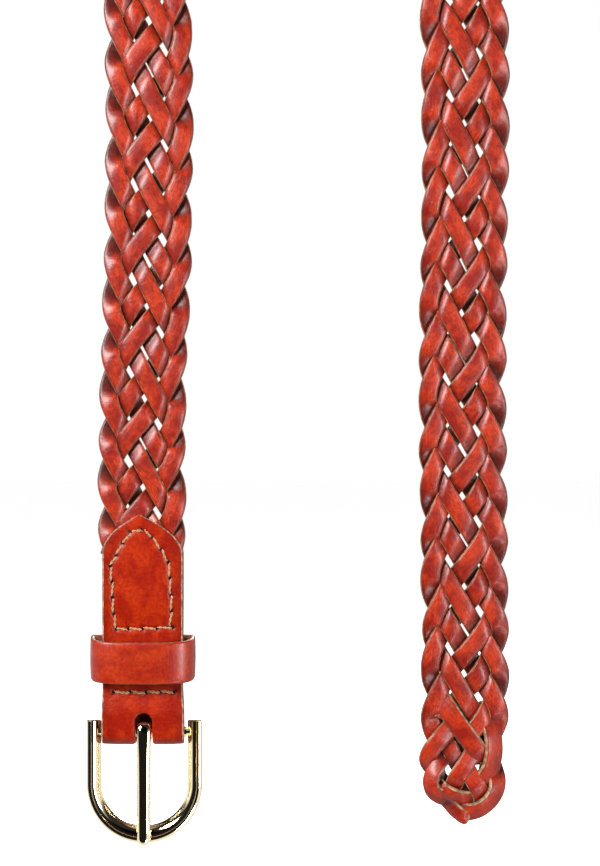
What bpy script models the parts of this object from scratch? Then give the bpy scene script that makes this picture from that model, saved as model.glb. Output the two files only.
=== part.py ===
"""Braided leather belt hung by its middle, with a stitched leather tab, keeper and D-shaped prong buckle.

Metres, +Z up. The strap passes over the origin in an arch and both legs hang in the plane y = 0,
each twisted a quarter turn so that its outer side faces -Y. The buckle is on the -X leg and the
knotted tip on the +X leg. Position along the strap is s, 0 at the top of the arch, negative on
the buckle leg and positive on the tip leg; u runs across the strap and n out of its outer side.
"""

import math

import bmesh
import bpy
import numpy as np
from mathutils import Matrix, Vector

MM = 0.001

# Arch and legs
ARCH_RADIUS = 53.0 * MM
STRAP_HALF = 1.75 * MM  # half the braid's thickness
LEG_TURN_LENGTH = 185.0 * MM  # below the arch, where each leg turns a quarter turn
SWAY_START = -190.0 * MM

# Braid of six flat strands
STRAND_COUNT = 6
STRAND_WIDTH = 6.0 * MM
STRAND_THICKNESS = 1.6 * MM
STRAND_LEVEL = 0.98 * MM  # a strand's middle lies this far in front of or behind the mid-surface
BRAID_REACH = 11.7 * MM  # furthest a strand's centreline goes to each side
TURN_SHARPNESS = 0.96
FIRST_ROW_S = -283.75 * MM  # row 0 of crossings in the middle column
ROW_PITCH = 16.314 * MM
EVEN_ROWS = 35  # rows at the even pitch; past them the braid tightens towards both ends
BUCKLE_TIGHTENING = 0.0767 * MM
TIP_TIGHTENING = 0.065 * MM
ROW_LEAN = (0.155, 0.06)  # how far a row drops per unit of width, buckle leg and tip leg

# Where the strands are parted so that each leg can swing
LEG_HINGE_Z = -290.0 * MM
LEG_GAP = 2.2 * MM

# Tab of leather folded round the buckle's bar
TAB_X = -54.0 * MM
TAB_WIDTH = 26.8 * MM
TAB_THICKNESS = 1.8 * MM
TAB_POINT_Z = -408.2 * MM
TAB_SHOULDER_Z = -421.5 * MM
TAB_WAIST = 1.98 * MM  # layer's middle from the mid-plane at the keeper
TAB_SPREAD = 3.0 * MM  # and at the braid and the bar
BAR_Z = -480.75 * MM
BAR_RADIUS = 1.8 * MM
SLOT_WIDTH = 5.7 * MM
SLOT_TOP_Z = -474.1 * MM
BRAID_END_Z = -424.0 * MM

# Keeper loop
KEEPER_TOP_Z = -449.4 * MM
KEEPER_HEIGHT = 13.8 * MM
KEEPER_WIDTH = 34.8 * MM
KEEPER_THICKNESS = 1.5 * MM
KEEPER_FRONT_Y = -8.9 * MM

# Buckle
BUCKLE_X = -53.6 * MM
FRAME_WIDTH = 38.6 * MM
FRAME_TOP_Z = -476.75 * MM
FRAME_STRAIGHT_Z = -498.0 * MM
FRAME_BOTTOM_Z = -517.75 * MM
FRAME_ARM = 4.9 * MM
FRAME_TOE = 5.8 * MM
FRAME_DEPTH = 4.0 * MM
PIN_RADIUS = 1.0 * MM
CLEARANCE = 0.3 * MM
PRONG_WIDTH = 4.8 * MM
PRONG_THICKNESS = 2.0 * MM
PRONG_TIP_Z = -518.2 * MM

# Stitching
THREAD_RADIUS = 0.35 * MM
LOWER_SEAM_Z = -467.1 * MM

# Tip
TIP_BEND_Z = -496.0 * MM  # centre of the round end of the strap
TIP_RADIUS = 14.8 * MM
TIP_X = 53.0 * MM


def material(name, colour, roughness, metallic=0.0):
    mat = bpy.data.materials.new(name)
    mat.use_nodes = True
    shader = mat.node_tree.nodes["Principled BSDF"]
    shader.inputs["Base Color"].default_value = (*colour, 1.0)
    shader.inputs["Roughness"].default_value = roughness
    shader.inputs["Metallic"].default_value = metallic
    return mat


def hang(obj, parent):
    """Parents an object to an empty and leaves it where it stands."""
    obj.parent = parent
    obj.matrix_parent_inverse = Matrix.Translation(-parent.location)


def add_object(name, bm, mat, parent, smooth=True):
    mesh = bpy.data.meshes.new(name)
    bmesh.ops.recalc_face_normals(bm, faces=bm.faces)
    bm.to_mesh(mesh)
    bm.free()
    if smooth:
        mesh.shade_smooth()
        mesh.set_sharp_from_angle(angle=math.radians(35))
    obj = bpy.data.objects.new(name, mesh)
    obj.data.materials.append(mat)
    bpy.context.scene.collection.objects.link(obj)
    hang(obj, parent)
    return obj


def add_empty(name, location, parent=None):
    """What moves together hangs from an empty on its joint's axis."""
    empty = bpy.data.objects.new(name, None)
    bpy.context.scene.collection.objects.link(empty)
    empty.location = location
    if parent:
        hang(empty, parent)
    return empty


def loft(rings, closed=False):
    """Closed solid through rings of points; with closed=True the last ring joins the first."""
    bm = bmesh.new()
    made = [[bm.verts.new(point) for point in ring] for ring in rings]
    pairs = list(zip(made, made[1:]))
    if closed:
        pairs.append((made[-1], made[0]))
    for first, second in pairs:
        for i in range(len(first)):
            j = (i + 1) % len(first)
            bm.faces.new((first[i], first[j], second[j], second[i]))
    if not closed:
        bm.faces.new(made[0])
        bm.faces.new(list(reversed(made[-1])))
    return bm


def smoothstep(t):
    t = min(max(t, 0.0), 1.0)
    return t * t * (3 - 2 * t)


# The strap's path


def leg_x(z, side):
    """The leg's middle at height z: each leg sways a little about a plumb line."""
    fade = smoothstep((SWAY_START - z) / (60 * MM))
    if side < 0:
        sway = 1.2 * MM * math.cos(math.pi * (z + 278.5 * MM) / (125 * MM)) - 0.2 * MM
    else:
        sway = 0.5 * MM * math.cos(math.pi * (z + 277 * MM) / (90 * MM))
    return side * ARCH_RADIUS + fade * sway


def strap_point(s, u, n):
    """World position of a point of the strap from its place along, across and out of it."""
    centre_z = STRAP_HALF - ARCH_RADIUS
    quarter = ARCH_RADIUS * math.pi / 2
    if abs(s) <= quarter:
        angle = s / ARCH_RADIUS
        reach = ARCH_RADIUS + n
        return Vector((reach * math.sin(angle), -u, centre_z + reach * math.cos(angle)))
    side = math.copysign(1.0, s)
    drop = abs(s) - quarter
    z = centre_z - drop
    part = min(drop / LEG_TURN_LENGTH, 1.0)
    turn = math.pi / 2 * (part - 0.25 * math.sin(2 * math.pi * part) / (2 * math.pi))
    across = (-side * u * math.sin(turn), -u * math.cos(turn))
    out = (side * n * math.cos(turn), -n * math.sin(turn))
    return Vector((leg_x(z, side) + across[0] + out[0], across[1] + out[1], z))


# The braid: crossing rows are numbered along the strap, two steps to a row


def row_s(row):
    if row < 0:
        return FIRST_ROW_S + ROW_PITCH * row + BUCKLE_TIGHTENING * row * row
    if row > EVEN_ROWS:
        past = row - EVEN_ROWS
        return FIRST_ROW_S + ROW_PITCH * row - TIP_TIGHTENING * past * past
    return FIRST_ROW_S + ROW_PITCH * row


def step_s(step, u):
    """Place along the strap of a step of the braid, u from the middle."""
    row = (step - 3) / 2
    share = min(max(row / EVEN_ROWS, 0.0), 1.0)
    lean = ROW_LEAN[0] + (ROW_LEAN[1] - ROW_LEAN[0]) * share
    return row_s(row) - lean * u


def step_at(s):
    """The step whose middle lies at s, by bisection."""
    low, high = -60.0, 140.0
    while high - low > 1e-4:
        middle = (low + high) / 2
        if step_s(middle, 0.0) < s:
            low = middle
        else:
            high = middle
    return low


def strand_u(phase):
    """Place across the strap of a strand that leaves the left edge at phase 0 and is back at 12."""
    swing = TURN_SHARPNESS * np.sin(np.pi * (phase - 3) / 6)
    return BRAID_REACH * np.arcsin(swing) / math.asin(TURN_SHARPNESS)


def centreline(phases):
    """Points of a strand on the flat braid, as (across, along)."""
    return np.column_stack((strand_u(phases), phases * ROW_PITCH / 2))


def edge_line(phases, side):
    """A strand's edge on the flat braid: side -1 on its left, +1 on its right."""
    ahead = centreline(phases + 0.01) - centreline(phases - 0.01)
    ahead /= np.linalg.norm(ahead, axis=1)[:, None]
    normal = np.column_stack((ahead[:, 1], -ahead[:, 0]))
    return centreline(phases) + side * STRAND_WIDTH / 2 * normal


def band_ends(crossing, side):
    """Phases where a strand's edge goes into and out of the strand it crosses there."""
    margin = 0.12 * MM
    phases = np.arange(crossing - 1.5, crossing + 1.5, 0.01)
    edge = edge_line(phases, side)
    # A strand met on the way right is the mirror image of this one, turned about the crossing.
    other = centreline(np.arange(crossing - 2.6, crossing + 2.6, 0.01))
    met = np.column_stack((strand_u(2 * crossing - other[:, 1] / (ROW_PITCH / 2)), other[:, 1]))
    apart = np.linalg.norm(edge[:, None, :] - met[None, :, :], axis=2).min(axis=1)
    inside = np.flatnonzero(apart < STRAND_WIDTH / 2 + margin)
    return phases[inside[0]], phases[inside[-1]]


def half_turn_stations(over_middle):
    """Sections of a strand from its left edge to its right one: (left phase, right phase, level)."""
    levels = [-1, 1, 1 if over_middle else -1, -1, 1]
    plates = []
    for column, level in enumerate(levels, start=1):
        left_in, left_out = band_ends(column, -1)
        right_in, right_out = band_ends(column, 1)
        plates += [(left_in, right_in, level), (left_out, right_out, level)]
    return plates


def stations(over_middle):
    """Sections over one whole period, 12 steps, with two more round each edge turn."""
    half = half_turn_stations(over_middle)
    back = [(right + 6, left + 6, level) for left, right, level in half]
    period = []
    for run, following in ((half, back), (back, [(a + 12, b + 12, c) for a, b, c in half])):
        period += run
        last, first = run[-1], following[0]
        for share in (1 / 3, 2 / 3):
            period.append(tuple(p + (q - p) * share for p, q in zip(last, first)))
    return period


def strand_mesh(strand, from_step, to_step):
    """A strand between two steps as one flat ribbon that passes over and under the others."""
    period = stations(strand % 2 == 0)
    rings = []
    first_turn = math.floor((from_step - 2 * strand) / 12) - 1
    for turn in range(first_turn, first_turn + int((to_step - from_step) / 12) + 4):
        for left, right, level in period:
            middle = (left + right) / 2 + 12 * turn + 2 * strand
            if not from_step <= middle <= to_step:
                continue
            points = []
            for phase, side in ((left, -1), (right, 1)):
                across, along = edge_line(np.array([phase]), side)[0]
                step = along / (ROW_PITCH / 2) + 12 * turn + 2 * strand
                points.append((step_s(step, across), across))
            middle_n = STRAND_LEVEL * level
            low, high = middle_n - STRAND_THICKNESS / 2, middle_n + STRAND_THICKNESS / 2
            (left_s, left_u), (right_s, right_u) = points
            rings.append([
                strap_point(left_s, left_u, low),
                strap_point(right_s, right_u, low),
                strap_point(right_s, right_u, high),
                strap_point(left_s, left_u, high),
            ])
    return loft(rings)


def part_off(bm, point, normal):
    """Removes what lies beyond the plane, on the side its normal points to, and closes the end."""
    everything = bm.verts[:] + bm.edges[:] + bm.faces[:]
    cut = bmesh.ops.bisect_plane(
        bm, geom=everything, plane_co=point, plane_no=normal, clear_outer=True, dist=1e-7
    )
    rim = [item for item in cut["geom_cut"] if isinstance(item, bmesh.types.BMEdge)]
    bmesh.ops.edgenet_fill(bm, edges=rim)


def tip_end_step(strand):
    """The step at which a strand's middle reaches the strap's round end."""
    step = step_at(row_s(EVEN_ROWS) + 190 * MM)
    while True:
        u = float(strand_u(step - 2 * strand))
        place = strap_point(step_s(step, u), u, 0.0)
        reach = TIP_RADIUS - 1.0 * MM
        below = place.z < TIP_BEND_Z
        if below and math.hypot(place.x - TIP_X, place.z - TIP_BEND_Z) > reach:
            return step
        step += 0.05


def make_strands(leather, bodies):
    quarter = ARCH_RADIUS * math.pi / 2
    straight = -LEG_HINGE_Z + STRAP_HALF - ARCH_RADIUS
    hinge_s = quarter + straight
    down, up = Vector((0, 0, -1)), Vector((0, 0, 1))
    low_rim = Vector((0, 0, LEG_HINGE_Z - LEG_GAP))
    high_rim = Vector((0, 0, LEG_HINGE_Z + LEG_GAP))
    buckle_side, tip_side = step_at(-hinge_s), step_at(hinge_s)
    braid_end = step_at(-(quarter - BRAID_END_Z + STRAP_HALF - ARCH_RADIUS))
    for strand in range(STRAND_COUNT):
        number = strand + 1
        top = strand_mesh(strand, buckle_side - 3, tip_side + 3)
        part_off(top, high_rim, down)
        add_object(f"strand_{number}_top", top, leather, bodies["strap_top"])

        left = strand_mesh(strand, braid_end - 3, buckle_side + 3)
        part_off(left, low_rim, up)
        part_off(left, Vector((0, 0, BRAID_END_Z)), down)
        add_object(f"strand_{number}_buckle_leg", left, leather, bodies["buckle_leg"])

        end = tip_end_step(strand)
        right = strand_mesh(strand, tip_side - 3, end + 2)
        part_off(right, low_rim, up)
        ends = [float(strand_u(step - 2 * strand)) for step in (end, end + 0.05)]
        rim = strap_point(step_s(end, ends[0]), ends[0], 0.0)
        beyond = strap_point(step_s(end + 0.05, ends[1]), ends[1], 0.0)
        part_off(right, rim, (beyond - rim).normalized())
        add_object(f"strand_{number}_tip_leg", right, leather, bodies["tip_leg"])


# The tab


def tab_offset(z):
    """Distance from the mid-plane to the middle of a layer of the tab: slim at the keeper."""
    above = smoothstep((z + 448.0 * MM) / (12.0 * MM))
    below = smoothstep((-466.0 * MM - z) / (9.0 * MM))
    return TAB_WAIST + (TAB_SPREAD - TAB_WAIST) * max(above, below)


def tab_half_width(z):
    """Half the tab's width: two convex arcs meet in a point at its top."""
    if z <= TAB_SHOULDER_Z:
        return TAB_WIDTH / 2
    rise = (z - TAB_SHOULDER_Z) / (TAB_POINT_Z - TAB_SHOULDER_Z)
    return TAB_WIDTH / 2 * (1 - rise**1.45)


def tab_layer_heights():
    arch = [TAB_POINT_Z - (TAB_POINT_Z - TAB_SHOULDER_Z) * i / 6 for i in range(6)]
    arch[0] -= 0.15 * MM
    body = [-421.5, -430.0, -436.0, -440.0, -444.0, -448.0, -457.0, -466.0, -470.5, -475.0]
    return arch + [z * MM for z in body]


def tab_section(z, offset, angle):
    """One ring across the tab: angle 0 on its front layer, half a turn on its back one."""
    half = tab_half_width(z)
    ring = []
    for across, away in ((-1, -1), (1, -1), (1, 1), (-1, 1)):
        reach = offset + away * TAB_THICKNESS / 2
        y, drop = -reach * math.cos(angle), reach * math.sin(angle)
        ring.append((TAB_X + across * half, y, z - drop))
    return ring


def make_tab(leather, parent):
    heights = tab_layer_heights()
    rings = [tab_section(z, tab_offset(z), 0.0) for z in heights]
    fold_steps = 12
    for i in range(fold_steps + 1):
        rings.append(tab_section(BAR_Z, TAB_SPREAD, math.pi * i / fold_steps))
    rings += [tab_section(z, tab_offset(z), math.pi) for z in reversed(heights)]
    tab = add_object("tab", loft(rings), leather, parent)

    cutter_mesh = bmesh.new()
    sides = 16
    outline = [
        (SLOT_WIDTH / 2 * math.cos(math.pi * i / sides), SLOT_WIDTH / 2 * math.sin(math.pi * i / sides))
        for i in range(sides + 1)
    ]
    top = SLOT_TOP_Z - SLOT_WIDTH / 2
    outline += [(-SLOT_WIDTH / 2, -20 * MM), (SLOT_WIDTH / 2, -20 * MM)]
    face = cutter_mesh.faces.new(
        [cutter_mesh.verts.new((BUCKLE_X + x, -8 * MM, top + z)) for x, z in outline]
    )
    grown = bmesh.ops.extrude_face_region(cutter_mesh, geom=[face])
    moved = [item for item in grown["geom"] if isinstance(item, bmesh.types.BMVert)]
    bmesh.ops.translate(cutter_mesh, verts=moved, vec=(0, 16 * MM, 0))
    cutter = add_object("slot_cutter", cutter_mesh, leather, parent, smooth=False)
    cutter.hide_render = True
    cutter.display_type = "WIRE"
    cut = tab.modifiers.new("slot", "BOOLEAN")
    cut.operation = "DIFFERENCE"
    cut.object = cutter


# The keeper


def rounded_outline(half_width, low, high, corner, steps=4):
    """A rectangle with round corners, across x and from low to high in y."""
    corner = min(corner, (high - low) / 2 - 1e-6)
    points = []
    for quarter, (cx, cy) in enumerate((
        (half_width - corner, high - corner),
        (-half_width + corner, high - corner),
        (-half_width + corner, low + corner),
        (half_width - corner, low + corner),
    )):
        for i in range(steps + 1):
            angle = math.pi / 2 * (quarter + i / steps)
            points.append((cx + corner * math.cos(angle), cy + corner * math.sin(angle)))
    return points


def make_keeper(leather, parent):
    """A flat band bent into a loop: its back runs between the tab's two layers."""
    back = KEEPER_THICKNESS / 2
    outer = rounded_outline(KEEPER_WIDTH / 2, KEEPER_FRONT_Y, back, 2.6 * MM)
    wall = KEEPER_THICKNESS
    inner = rounded_outline(
        KEEPER_WIDTH / 2 - wall, KEEPER_FRONT_Y + wall, back - wall, 1.1 * MM
    )
    rings = []
    for (ox, oy), (ix, iy) in zip(outer, inner):
        rings.append([
            (TAB_X + ox, oy, KEEPER_TOP_Z),
            (TAB_X + ox, oy, KEEPER_TOP_Z - KEEPER_HEIGHT),
            (TAB_X + ix, iy, KEEPER_TOP_Z - KEEPER_HEIGHT),
            (TAB_X + ix, iy, KEEPER_TOP_Z),
        ])
    add_object("keeper", loft(rings, closed=True), leather, parent)


# The buckle


def frame_section(centre, inner, outer):
    """The frame's section between its inner and outer edge: flat back, sloping to a front ridge."""
    half = FRAME_DEPTH / 2
    profile = (
        (0.0, 0.45),
        (0.14, 1.0),
        (0.86, 1.0),
        (1.0, 0.45),
        (1.0, -0.30),
        (0.80, -0.80),
        (0.55, -1.0),
        (0.22, -0.72),
        (0.0, -0.25),
    )
    ring = []
    for share, depth in profile:
        x = inner[0] + (outer[0] - inner[0]) * share
        z = inner[1] + (outer[1] - inner[1]) * share
        ring.append((centre + x, depth * half, z))
    return ring


def make_frame(metal, parent):
    outer_half = FRAME_WIDTH / 2
    inner_half = outer_half - FRAME_ARM
    outer_drop = FRAME_STRAIGHT_Z - FRAME_BOTTOM_Z
    inner_drop = outer_drop - FRAME_TOE
    rings = []
    arm_heights = (FRAME_TOP_Z, -484.0 * MM, -491.0 * MM)
    for z in arm_heights:
        rings.append(frame_section(BUCKLE_X, (-inner_half, z), (-outer_half, z)))
    steps = 24
    for i in range(steps + 1):
        angle = math.pi * i / steps
        inner = (-inner_half * math.cos(angle), FRAME_STRAIGHT_Z - inner_drop * math.sin(angle))
        outer = (-outer_half * math.cos(angle), FRAME_STRAIGHT_Z - outer_drop * math.sin(angle))
        rings.append(frame_section(BUCKLE_X, inner, outer))
    for z in reversed(arm_heights):
        rings.append(frame_section(BUCKLE_X, (inner_half, z), (outer_half, z)))
    frame = add_object("buckle_frame", loft(rings), metal, parent)

    hole_mesh = bmesh.new()
    bmesh.ops.create_cone(
        hole_mesh, segments=16, radius1=PIN_RADIUS + CLEARANCE, radius2=PIN_RADIUS + CLEARANCE,
        depth=FRAME_WIDTH - 4 * MM, cap_ends=True,
    )
    hole = add_object("pin_hole_cutter", hole_mesh, metal, parent, smooth=False)
    hole.location = (BUCKLE_X, 0, BAR_Z)
    hole.rotation_euler = (0, math.pi / 2, 0)
    hole.hide_render = True
    hole.display_type = "WIRE"
    cut = frame.modifiers.new("pin_holes", "BOOLEAN")
    cut.operation = "DIFFERENCE"
    cut.object = hole


def make_bar(metal, parent):
    """A turned bar with a thinner pin on each end, which sits in the frame's arms."""
    inner_half = FRAME_WIDTH / 2 - FRAME_ARM
    shoulder = inner_half - CLEARANCE
    end = FRAME_WIDTH / 2 - 2.4 * MM
    profile = [(-end, PIN_RADIUS), (-shoulder, PIN_RADIUS), (-shoulder, BAR_RADIUS)]
    profile += [(shoulder, BAR_RADIUS), (shoulder, PIN_RADIUS), (end, PIN_RADIUS)]
    sides = 20
    rings = []
    turns = [2 * math.pi * i / sides for i in range(sides)]
    for x, radius in profile:
        rings.append([
            (BUCKLE_X + x, radius * math.cos(a), BAR_Z + radius * math.sin(a)) for a in turns
        ])
    add_object("buckle_bar", loft(rings), metal, parent)


def make_prong(metal, parent):
    """An eye round the bar and a tongue that lies down over the frame's toe."""
    eye_inner = BAR_RADIUS + CLEARANCE
    eye_outer = eye_inner + 1.6 * MM
    half = PRONG_WIDTH / 2
    crest = half * 0.72
    eye_section = ((-half, eye_inner), (half, eye_inner), (crest, eye_outer), (-crest, eye_outer))
    sides = 20
    rings = []
    for i in range(sides):
        y, z = math.cos(2 * math.pi * i / sides), math.sin(2 * math.pi * i / sides)
        rings.append([(BUCKLE_X + x, reach * y, BAR_Z + reach * z) for x, reach in eye_section])
    eye = add_object("prong", loft(rings, closed=True), metal, parent)

    rest_y = -FRAME_DEPTH / 2 - CLEARANCE
    tongue_rings = []
    places = ((1.0, 2.75), (3.5, 2.75), (8.0, 2.55), (16.0, 2.4), (28.0, 2.3))
    for below_bar, forward in places:
        tongue_rings.append(tongue_section(-forward * MM, BAR_Z - below_bar * MM, half))
    for lift, narrow in ((1.6, 1.0), (0.7, 0.86), (0.0, 0.55)):
        tongue_rings.append(tongue_section(rest_y, PRONG_TIP_Z + lift * MM, half * narrow))
    tongue = add_object("tongue_form", loft(tongue_rings), metal, parent)
    tongue.hide_render = True
    tongue.display_type = "WIRE"
    join = eye.modifiers.new("tongue", "BOOLEAN")
    join.operation = "UNION"
    join.object = tongue


def tongue_section(back, z, half):
    """The tongue's section: a flat back and a front with its corners taken off."""
    shoulder, front = back - PRONG_THICKNESS * 0.55, back - PRONG_THICKNESS
    outline = ((-1, back), (1, back), (1, shoulder), (0.55, front), (-0.55, front), (-1, shoulder))
    return [(BUCKLE_X + side * half, y, z) for side, y in outline]


# Stitching


def add_thread(name, points, closed, thread, parent):
    curve = bpy.data.curves.new(name, "CURVE")
    curve.dimensions = "3D"
    curve.bevel_depth = THREAD_RADIUS
    curve.bevel_resolution = 1
    curve.use_fill_caps = True
    spline = curve.splines.new("POLY")
    spline.points.add(len(points) - 1)
    for point, place in zip(spline.points, points):
        point.co = (*place, 1.0)
    spline.use_cyclic_u = closed
    curve.materials.append(thread)
    obj = bpy.data.objects.new(name, curve)
    bpy.context.scene.collection.objects.link(obj)
    hang(obj, parent)


def thread_y(z, side):
    return side * (tab_offset(z) + TAB_THICKNESS / 2 + CLEARANCE + THREAD_RADIUS)


def make_stitching(thread, parent):
    """Upper seam round the tab's arch and lower seam below the keeper, on both faces."""
    inset = 3.1 * MM
    seam_half = TAB_WIDTH / 2 - inset
    seam_bottom = -446.0 * MM
    point_z = TAB_POINT_Z - 4.9 * MM
    shoulder_z = TAB_SHOULDER_Z - 4.0 * MM
    right = []
    for i in range(5):
        share = i / 4
        right.append((seam_half * (1 - (1 - share) ** 1.45), point_z + (shoulder_z - point_z) * share))
    right[0] = (0.0, point_z)
    right += [(seam_half, z * MM) for z in (-432.0, -438.0, -442.0)]
    right.append((seam_half - 0.6 * MM, seam_bottom))
    outline = right + [(-x, z) for x, z in reversed(right[1:])]
    for face, side in (("front", -1), ("back", 1)):
        loop = [(TAB_X + x, thread_y(z, side), z) for x, z in outline]
        add_thread(f"upper_seam_{face}", loop, True, thread, parent)
        row = [
            (TAB_X + 2 * seam_half * (i / 4 - 0.5), thread_y(LOWER_SEAM_Z, side), LOWER_SEAM_Z)
            for i in range(5)
        ]
        add_thread(f"lower_seam_{face}", row, False, thread, parent)


def main():
    for obj in list(bpy.data.objects):
        bpy.data.objects.remove(obj)
    braid_leather = material("braid_leather", (0.50, 0.045, 0.015), 0.42)
    tab_leather = material("tab_leather", (0.62, 0.055, 0.012), 0.36)
    brass = material("pale_gold_plate", (0.90, 0.76, 0.52), 0.12, 1.0)
    thread = material("tan_thread", (0.55, 0.26, 0.10), 0.75)

    bodies = {"strap_top": add_empty("hanging_point", (0, 0, 0))}
    for side, name in ((-1, "buckle_leg"), (1, "tip_leg")):
        place = (side * ARCH_RADIUS, 0, LEG_HINGE_Z)
        bodies[name] = add_empty(f"{name}_bend", place, bodies["strap_top"])
    keeper_slide = add_empty("keeper_slide", (TAB_X, 0, KEEPER_TOP_Z), bodies["buckle_leg"])
    bar_axis = add_empty("buckle_swing", (BUCKLE_X, 0, BAR_Z), bodies["buckle_leg"])
    prong_axis = add_empty("prong_lift", (BUCKLE_X, 0, BAR_Z), bar_axis)

    make_strands(braid_leather, bodies)
    make_tab(tab_leather, bodies["buckle_leg"])
    make_stitching(thread, bodies["buckle_leg"])
    make_keeper(tab_leather, keeper_slide)
    make_frame(brass, bar_axis)
    make_bar(brass, bar_axis)
    make_prong(brass, prong_axis)


main()
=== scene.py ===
"""Looks of the braided leather belt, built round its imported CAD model.

The belt hangs by its middle: the buckle leg on -X, the tip leg on +X, both facing -Y. Position
along the strap is s, 0 at the top of the arch; u runs across the strap and n out of its outer side.
"""

import math

import bmesh
import bpy
import numpy as np
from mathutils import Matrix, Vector


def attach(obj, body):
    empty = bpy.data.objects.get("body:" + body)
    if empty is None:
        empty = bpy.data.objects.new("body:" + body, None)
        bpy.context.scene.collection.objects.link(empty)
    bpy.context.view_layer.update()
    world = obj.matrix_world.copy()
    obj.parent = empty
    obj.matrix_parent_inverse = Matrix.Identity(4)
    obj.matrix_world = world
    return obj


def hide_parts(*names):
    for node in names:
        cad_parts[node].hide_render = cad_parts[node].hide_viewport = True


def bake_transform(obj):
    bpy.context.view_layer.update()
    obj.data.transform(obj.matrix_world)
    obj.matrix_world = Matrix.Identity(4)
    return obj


MM = 0.001

# The strap's path
ARCH_RADIUS = 53.0 * MM
STRAP_HALF = 1.75 * MM  # half the braid's thickness
ARCH_CENTRE_Z = STRAP_HALF - ARCH_RADIUS
ARCH_QUARTER = ARCH_RADIUS * math.pi / 2  # along the strap from its top to a leg
LEG_TURN_LENGTH = 185.0 * MM  # below the arch, where each leg turns a quarter turn
SWAY_START = -190.0 * MM
SWAY_FADE = 60.0 * MM  # below its start, over which a leg's sway comes in
SWAY = {  # of the buckle leg and the tip leg: reach, height of the crest, half wave and shift
    -1: (1.2 * MM, -278.5 * MM, 125.0 * MM, -0.2 * MM),
    1: (0.5 * MM, -277.0 * MM, 90.0 * MM, 0.0),
}

# The braid's lattice, counted in steps, two to a row of crossings
CROSS_STEPS = 6  # a strand goes from one edge of the strap to the other in this many
CYCLE = 2 * CROSS_STEPS
CROSSINGS = (1, 2, 3, 4, 5, 7, 8, 9, 10, 11)  # phases at which a strand meets another
BRAID_REACH = 11.55 * MM  # furthest a strand's centreline goes to each side
TURN_SHARPNESS = 0.86
FIRST_ROW_S = -283.75 * MM
ROW_PITCH = 16.263 * MM
EVEN_ROWS = 35  # rows at the even pitch; past them the braid tightens towards both ends
BUCKLE_TIGHTENING = 0.0767 * MM
TIP_TIGHTENING = 0.065 * MM
LATTICE_LEAN = 0.12  # rows slope by this much across the strap
MIDDLE_LEAN = 0.22  # and by this much more at its middle
ROW_LEAN = {-9: 0.03, -6: -0.02, 0: 0.08, 35: -0.06}  # what is added to the lean, by row
BRAID_END_Z = -424.0 * MM
LATTICE_END_Z = -483.2 * MM
KNOT_TRIM = {1: 0.75, 4: 0.85}  # steps by which these strands end sooner, under the knot

# Strands
STRAND_COUNT = 6
SEEN_WIDTH = 6.75 * MM
LEATHER_THICKNESS = 1.9 * MM
LEVEL = 1.05 * MM  # a strand over or under another lies about this far from the strap's middle
SHARP_SHARE = 0.94  # of LEVEL, as it follows the edges of the strands that are crossed
SOFT_SHARE = 0.18  # of LEVEL, as a soft swell over each crossing
STEEPEST = 0.10  # the shortest stretch, in steps, over which a strand changes level
LEVEL_SAMPLES = 600
PROFILE_COLUMNS = 9
SHARP_BLUR = 0.10  # in steps
SOFT_BLUR = 0.42
CROWN = 0.17 * MM  # how much a strip's middle swells over its edges
TURN_PINCH = 0.06  # share of its width a strand loses at the strap's edge
SLACK_PINCH = 0.05  # and where it runs back over the middle
SLACK_SHIFT = 0.35 * MM  # strands over the middle lie off centre where they run back across
TUCK_SHIFT = {0: -0.45 * MM, 1: 0.85 * MM}  # and the other way over the tuck, for even and odd strands
NOISE_STEPS = 1.7  # between changes of a strand's width, shift and rise
WIDTH_NOISE = 0.030
SHIFT_NOISE = 0.16 * MM
RISE_NOISE = 0.06 * MM
RIM_SHADE = 0.40  # painted shade towards a strip's edges
BARE_END = 2.2  # steps before the knot over which a strand's painted shade fades out, as it lies open to the light
COVERED_END = 0.01  # steps over which the painted shade fades at a joint under a crossing: next to none
SECTION_STEP = 0.16  # steps between a strand's sections

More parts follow.
